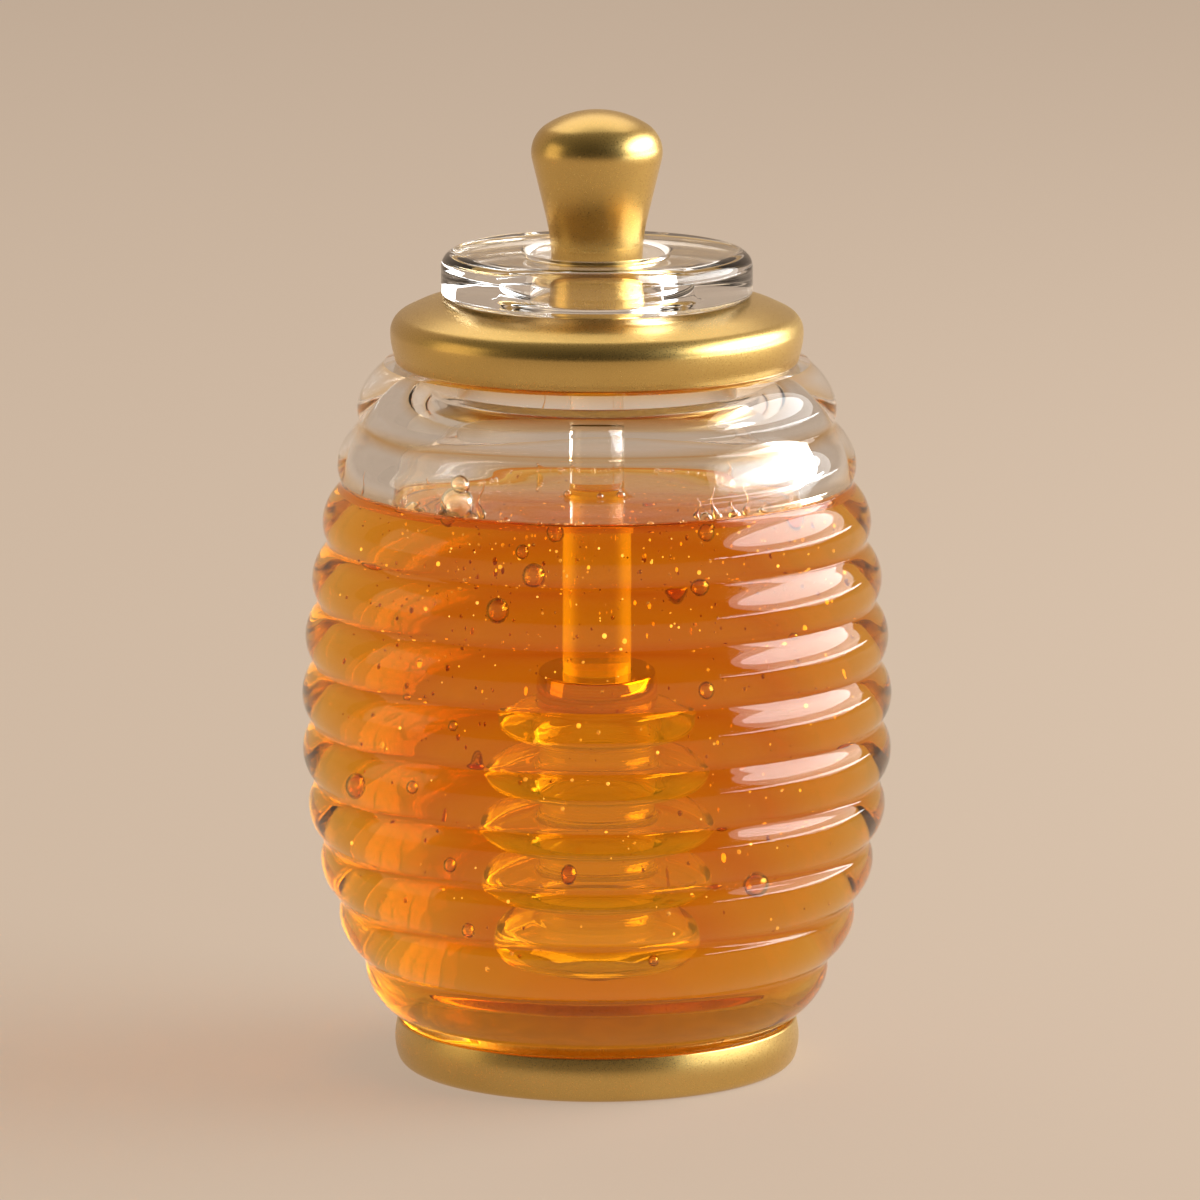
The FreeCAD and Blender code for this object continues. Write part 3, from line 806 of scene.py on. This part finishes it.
# ---- Honey drips ----
# Threads and drops of honey that cling to the inside of the clear shoulder, left from filling the jar
# and from lifting the dipper out. They run down to the surface, thin at the top and thick at the foot.
drips = [
    (-118, 96.0, 101.5, 0.75), (-121, 96.0, 99.0, 0.55), (-128, 95.9, 98.2, 0.8), (-136, 95.9, 97.6, 0.7),
    (-66, 96.0, 99.5, 0.5), (-62, 95.9, 101.0, 0.6), (-57, 95.9, 98.8, 0.9), (-53, 95.9, 100.2, 0.5),
    (-48, 95.9, 98.0, 0.8), (-40, 95.9, 97.8, 0.7), (40, 96.0, 100.0, 0.7), (110, 96.0, 99.0, 0.8),
    (160, 96.0, 98.5, 0.7), (200, 96.0, 99.8, 0.6),
]


def shoulder_radius(height):
    """Radius of the inside of the shoulder at a height."""
    for low, high in zip(shoulder, shoulder[1:]):
        if low.y <= height <= high.y:
            return low.x + (high.x - low.x) * (height - low.y) / (high.y - low.y)
    return shoulder[0].x


def add_drip(shape, angle, low, high, width):
    """One drip: a tapered thread down the glass, with a swollen foot."""
    rings = []
    steps = 12
    for part in range(steps + 1):
        share = part / steps
        height = low + (high - low) * share
        swell = math.sin(math.pi * min(1, 0.08 + share * 2.2)) * 0.6 if share < 0.42 else 0
        half = width * (0.35 * (1 - share) ** 0.5 + swell + 0.08)
        sway = 0.010 * math.sin(7 * share + angle)
        middle = shoulder_radius(height) - half * 0.35
        ring = []
        for corner in range(10):
            turn = 2 * math.pi * corner / 10
            radius = middle + half * 0.6 * math.cos(turn)
            around = math.radians(angle) + sway + half * math.sin(turn) / middle
            ring.append(shape.verts.new((radius * math.cos(around), radius * math.sin(around), height)))
        rings.append(ring)
    for below, above in zip(rings, rings[1:]):
        for corner in range(10):
            after = (corner + 1) % 10
            shape.faces.new([below[corner], below[after], above[after], above[corner]])
    shape.faces.new(rings[0])
    shape.faces.new(rings[-1])


drip_shape = bmesh.new()
for angle, low, high, width in drips:
    add_drip(drip_shape, angle, low / 1000, high / 1000, width / 1000)
drip_skin = bubble_air("honey drip", (1, 0.66, 0.24, 1), (0.92, 0.50, 0.12, 1), 0.0)
finished_piece("honey_drips", drip_shape, [drip_skin], [])


# ---- Lid ----
# A heavy turned metal lid with a satin gold finish. Its pillow-shaped edge lies on the rim of the jar
# and its plug drops into the mouth, drawn less deep than it is. A socket in it takes the dipper's rod.
plug_clearance = 0.0003
plug_radius = mouth_radius - plug_clearance
socket_radius = rod_high.x + rod_clearance
glass_ring_low, glass_ring_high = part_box("glass_ring")
lid_draft = 0.0009
lid_skirt = 0.0036
lid_skirt_rounding = 0.0008
lid_swell = 0.0120
lid_edge = 0.0035
lid_edge_drop = 0.0034
lid_shoulder_drop = 0.0014
plug_edge = 0.0003
plug_depth = 0.0008
plug_bottom = jar_high.z - plug_depth
lid_shape = bmesh.new()
turn_outline(lid_shape, rounded_outline([
    (0, rod_high.z, 0),
    (socket_radius, rod_high.z, 0),
    (socket_radius, plug_bottom, 0),
    (plug_radius, plug_bottom, plug_edge),
    (plug_radius, jar_high.z, 0),
    (lid_high.x - lid_draft, jar_high.z, lid_skirt_rounding),
    (lid_high.x, jar_high.z + lid_skirt, lid_swell),
    (lid_high.x, lid_high.z - lid_edge_drop, lid_edge),
    ((lid_high.x + glass_ring_high.x) / 2, lid_high.z - lid_shoulder_drop, lid_swell),
    (glass_ring_high.x, lid_high.z, 0),
    (0, lid_high.z, 0),
], math.radians(3)), around_metal)
finished_piece("lid_satin", lid_shape, [gold], ["lid"])


# ---- Glass ring ----
# A thick ring of pressed clear glass that lies on the lid round the knob, as a finger rest. Its outer
# edge is rounded over and its bore is open, so that the lid shines through it.
ring_edge = 0.0027
ring_foot = 0.0012
ring_bore = 0.0108
ring_bore_edge = 0.0016
ring_middle = (glass_ring_low.z + glass_ring_high.z) / 2
ring_shape = bmesh.new()
turn_outline(ring_shape, rounded_outline([
    (glass_ring_high.x, ring_middle, 0),
    (glass_ring_high.x, glass_ring_high.z, ring_edge),
    (ring_bore, glass_ring_high.z, ring_bore_edge),
    (ring_bore, glass_ring_low.z + hair, ring_foot),
    (glass_ring_high.x, glass_ring_low.z + hair, ring_foot),
    (glass_ring_high.x, ring_middle, 0),
], math.radians(5)), around_jar)
ring_glass = jar_glass("ring glass", 1.45, 0.06, 1.0, 0.0, (1, 0.995, 0.985, 1))
finished_piece("glass_ring_clear", ring_shape, [ring_glass], ["glass_ring"])


# ---- Knob ----
# A turned metal knob with a satin gold finish: a waisted stem that flares to a low domed cap, parted
# by a fine edge. It stands on the lid in the middle of the glass ring.
knob_low, knob_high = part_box("knob")
around_knob = 128
knob_foot = 0.0078
knob_waist = 0.0067
knob_waist_height = knob_low.z + 0.0068
knob_top = 0.0105
knob_neck_height = knob_low.z + 0.0226
knob_neck_rounding = 0.0340
cap_edge = 0.0052
cap_rise = 0.0068
cap_middle = knob_high.x - cap_edge
cap_drop = math.sqrt(cap_edge ** 2 - (knob_top - cap_middle) ** 2)
crown_radius = (cap_middle ** 2 + cap_rise ** 2 - cap_edge ** 2) / (2 * (cap_rise - cap_edge))
crown_centre = Vector((0, knob_neck_height + cap_drop + cap_rise - crown_radius))
edge_centre = Vector((cap_middle, knob_neck_height + cap_drop))
meeting = (edge_centre - crown_centre).angle(Vector((0, 1)))
knob_line = rounded_outline([
    (0, knob_low.z, 0), (knob_foot, knob_low.z, 0), (knob_waist, knob_waist_height, knob_neck_rounding),
    (knob_top, knob_neck_height, 0),
], math.radians(1))
lowest = -math.asin(cap_drop / cap_edge)
for part in range(1, 25):
    angle = lowest + (math.pi / 2 - meeting - lowest) * part / 24
    knob_line.append(edge_centre + cap_edge * Vector((math.cos(angle), math.sin(angle))))
for part in range(1, 17):
    angle = meeting * (1 - part / 16)
    knob_line.append(crown_centre + crown_radius * Vector((math.sin(angle), math.cos(angle))))
knob_line[-1].x = 0
knob_shape = bmesh.new()
turn_outline(knob_shape, knob_line, around_knob)
knob = finished_piece("knob_satin", knob_shape, [gold], ["knob"])
knob.data.set_sharp_from_angle(angle=math.radians(12))


# ---- Studio ----
# Not part of the object: a pale floor that sweeps up into a backdrop, window lights on the right, a
# weaker one on the left, one overhead, and the camera a little above the jar.
curve_start = 3.2
curve_radius = 0.8
stage_reach = 9.0


def stage_material():
    """Pale paper whose plain tone the camera sees directly, in metal and through glass alike."""
    material, tree, output, place = new_material("pale studio paper")
    ray = put(tree, "ShaderNodeLightPath")
    paper = put(tree, "ShaderNodeBsdfDiffuse", {"Color": (0.20, 0.162, 0.127, 1)})
    shine = put(tree, "ShaderNodeEmission", {"Color": (0.64, 0.49, 0.37, 1), "Strength": 0.70})
    both = put(tree, "ShaderNodeAddShader", {0: paper.outputs[0], 1: shine.outputs[0]})
    through = put(tree, "ShaderNodeMath", {0: ray.outputs["Is Glossy Ray"],
                                           1: ray.outputs["Is Transmission Ray"]}, operation="MAXIMUM")
    seen = put(tree, "ShaderNodeMath", {0: ray.outputs["Is Camera Ray"], 1: through.outputs[0]},
               operation="MAXIMUM")
    straight = put(tree, "ShaderNodeMixShader", {0: seen.outputs[0], 1: paper.outputs[0], 2: both.outputs[0]})
    tree.links.new(straight.outputs[0], output.inputs["Surface"])
    return material


backdrop = bpy.data.meshes.new("backdrop")
sweep = []
for part in range(13):
    angle = math.pi / 2 * part / 12
    sweep.append((curve_start + curve_radius * math.sin(angle),
                  curve_radius - curve_radius * math.cos(angle)))
sweep = [(-stage_reach, 0)] + sweep + [(curve_start + curve_radius, stage_reach)]
stage_shape = bmesh.new()
rows = []
for back, up in sweep:
    rows.append([stage_shape.verts.new((side, back, up)) for side in (-stage_reach, stage_reach)])
for low, high in zip(rows, rows[1:]):
    stage_shape.faces.new([low[0], low[1], high[1], high[0]])
stage_shape.to_mesh(backdrop)
stage_shape.free()
backdrop.materials.append(stage_material())
backdrop.shade_smooth()
floor = bpy.data.objects.new("floor_and_backdrop", backdrop)
bpy.context.scene.collection.objects.link(floor)


def window_light(name, place, aim, width, height, power, colour, shape="RECTANGLE"):
    """A soft light that faces a point."""
    lamp = bpy.data.lights.new(name, "AREA")
    lamp.shape = shape
    lamp.size = width
    lamp.size_y = height
    lamp.energy = power
    lamp.color = colour
    light = bpy.data.objects.new(name, lamp)
    light.location = place
    light.rotation_euler = (Vector(aim) - Vector(place)).to_track_quat("-Z", "Y").to_euler()
    bpy.context.scene.collection.objects.link(light)


window_light("window right", (0.95, 0.15, 0.62), (0, 0.15, 0.62), 1.5, 1.10, 13, (0.95, 0.96, 0.97),
             "ELLIPSE")
window_light("window right pane", (0.90, 0.12, 0.60), (0, 0.12, 0.60), 1.20, 0.55, 12, (0.93, 0.97, 1),
             "ELLIPSE")
window_light("window right sill", (0.92, 0.00, 0.15), (0, 0.00, 0.15), 1.7, 0.07, 2.8, (0.93, 0.97, 1),
             "ELLIPSE")
window_light("window left", (-1.05, -0.10, 0.38), (0, -0.10, 0.38), 0.60, 0.70, 1.3, (1, 0.78, 0.46))
window_light("ceiling light", (-0.1, 0.90, 1.30), (0, 0, 0.07), 1.4, 1.0, 5, (1, 0.97, 0.92))
world = bpy.data.worlds.new("soft room")
world.use_nodes = True
room_tree = world.node_tree
room_tree.nodes.clear()
room_ray = put(room_tree, "ShaderNodeLightPath")
room_seen = put(room_tree, "ShaderNodeMath", {0: room_ray.outputs["Is Camera Ray"],
                                              1: room_ray.outputs["Is Transmission Ray"]},
                operation="MAXIMUM")
room_way = put(room_tree, "ShaderNodeTexCoord")
room_side = put(room_tree, "ShaderNodeSeparateXYZ", {"Vector": room_way.outputs["Generated"]})
room_light = put(room_tree, "ShaderNodeMapRange", {"Value": room_side.outputs["Y"], "From Min": -0.9,
                                                   "From Max": 0.1, "To Min": 0.06, "To Max": 0.23})
room_fill = put(room_tree, "ShaderNodeBackground", {"Color": (1, 0.86, 0.64, 1),
                                                    "Strength": room_light.outputs[0]})
room_wall = put(room_tree, "ShaderNodeBackground", {"Color": (0.64, 0.50, 0.38, 1), "Strength": 1.0})
room = put(room_tree, "ShaderNodeMixShader", {0: room_seen.outputs[0], 1: room_fill.outputs[0],
                                              2: room_wall.outputs[0]})
put(room_tree, "ShaderNodeOutputWorld", {"Surface": room.outputs[0]})
bpy.context.scene.world = world

aim = Vector((0.0005, 0, 0.0764))
tilt = math.radians(10.45)
camera_distance = 1.640
camera_data = bpy.data.cameras.new("camera")
camera_data.lens = 303
camera = bpy.data.objects.new("camera", camera_data)
camera.location = aim + camera_distance * Vector((0, -math.cos(tilt), math.sin(tilt)))
camera.rotation_euler = (math.pi / 2 - tilt, 0, 0)
bpy.context.scene.collection.objects.link(camera)
bpy.context.scene.camera = camera
bpy.context.scene.view_settings.view_transform = "Standard"
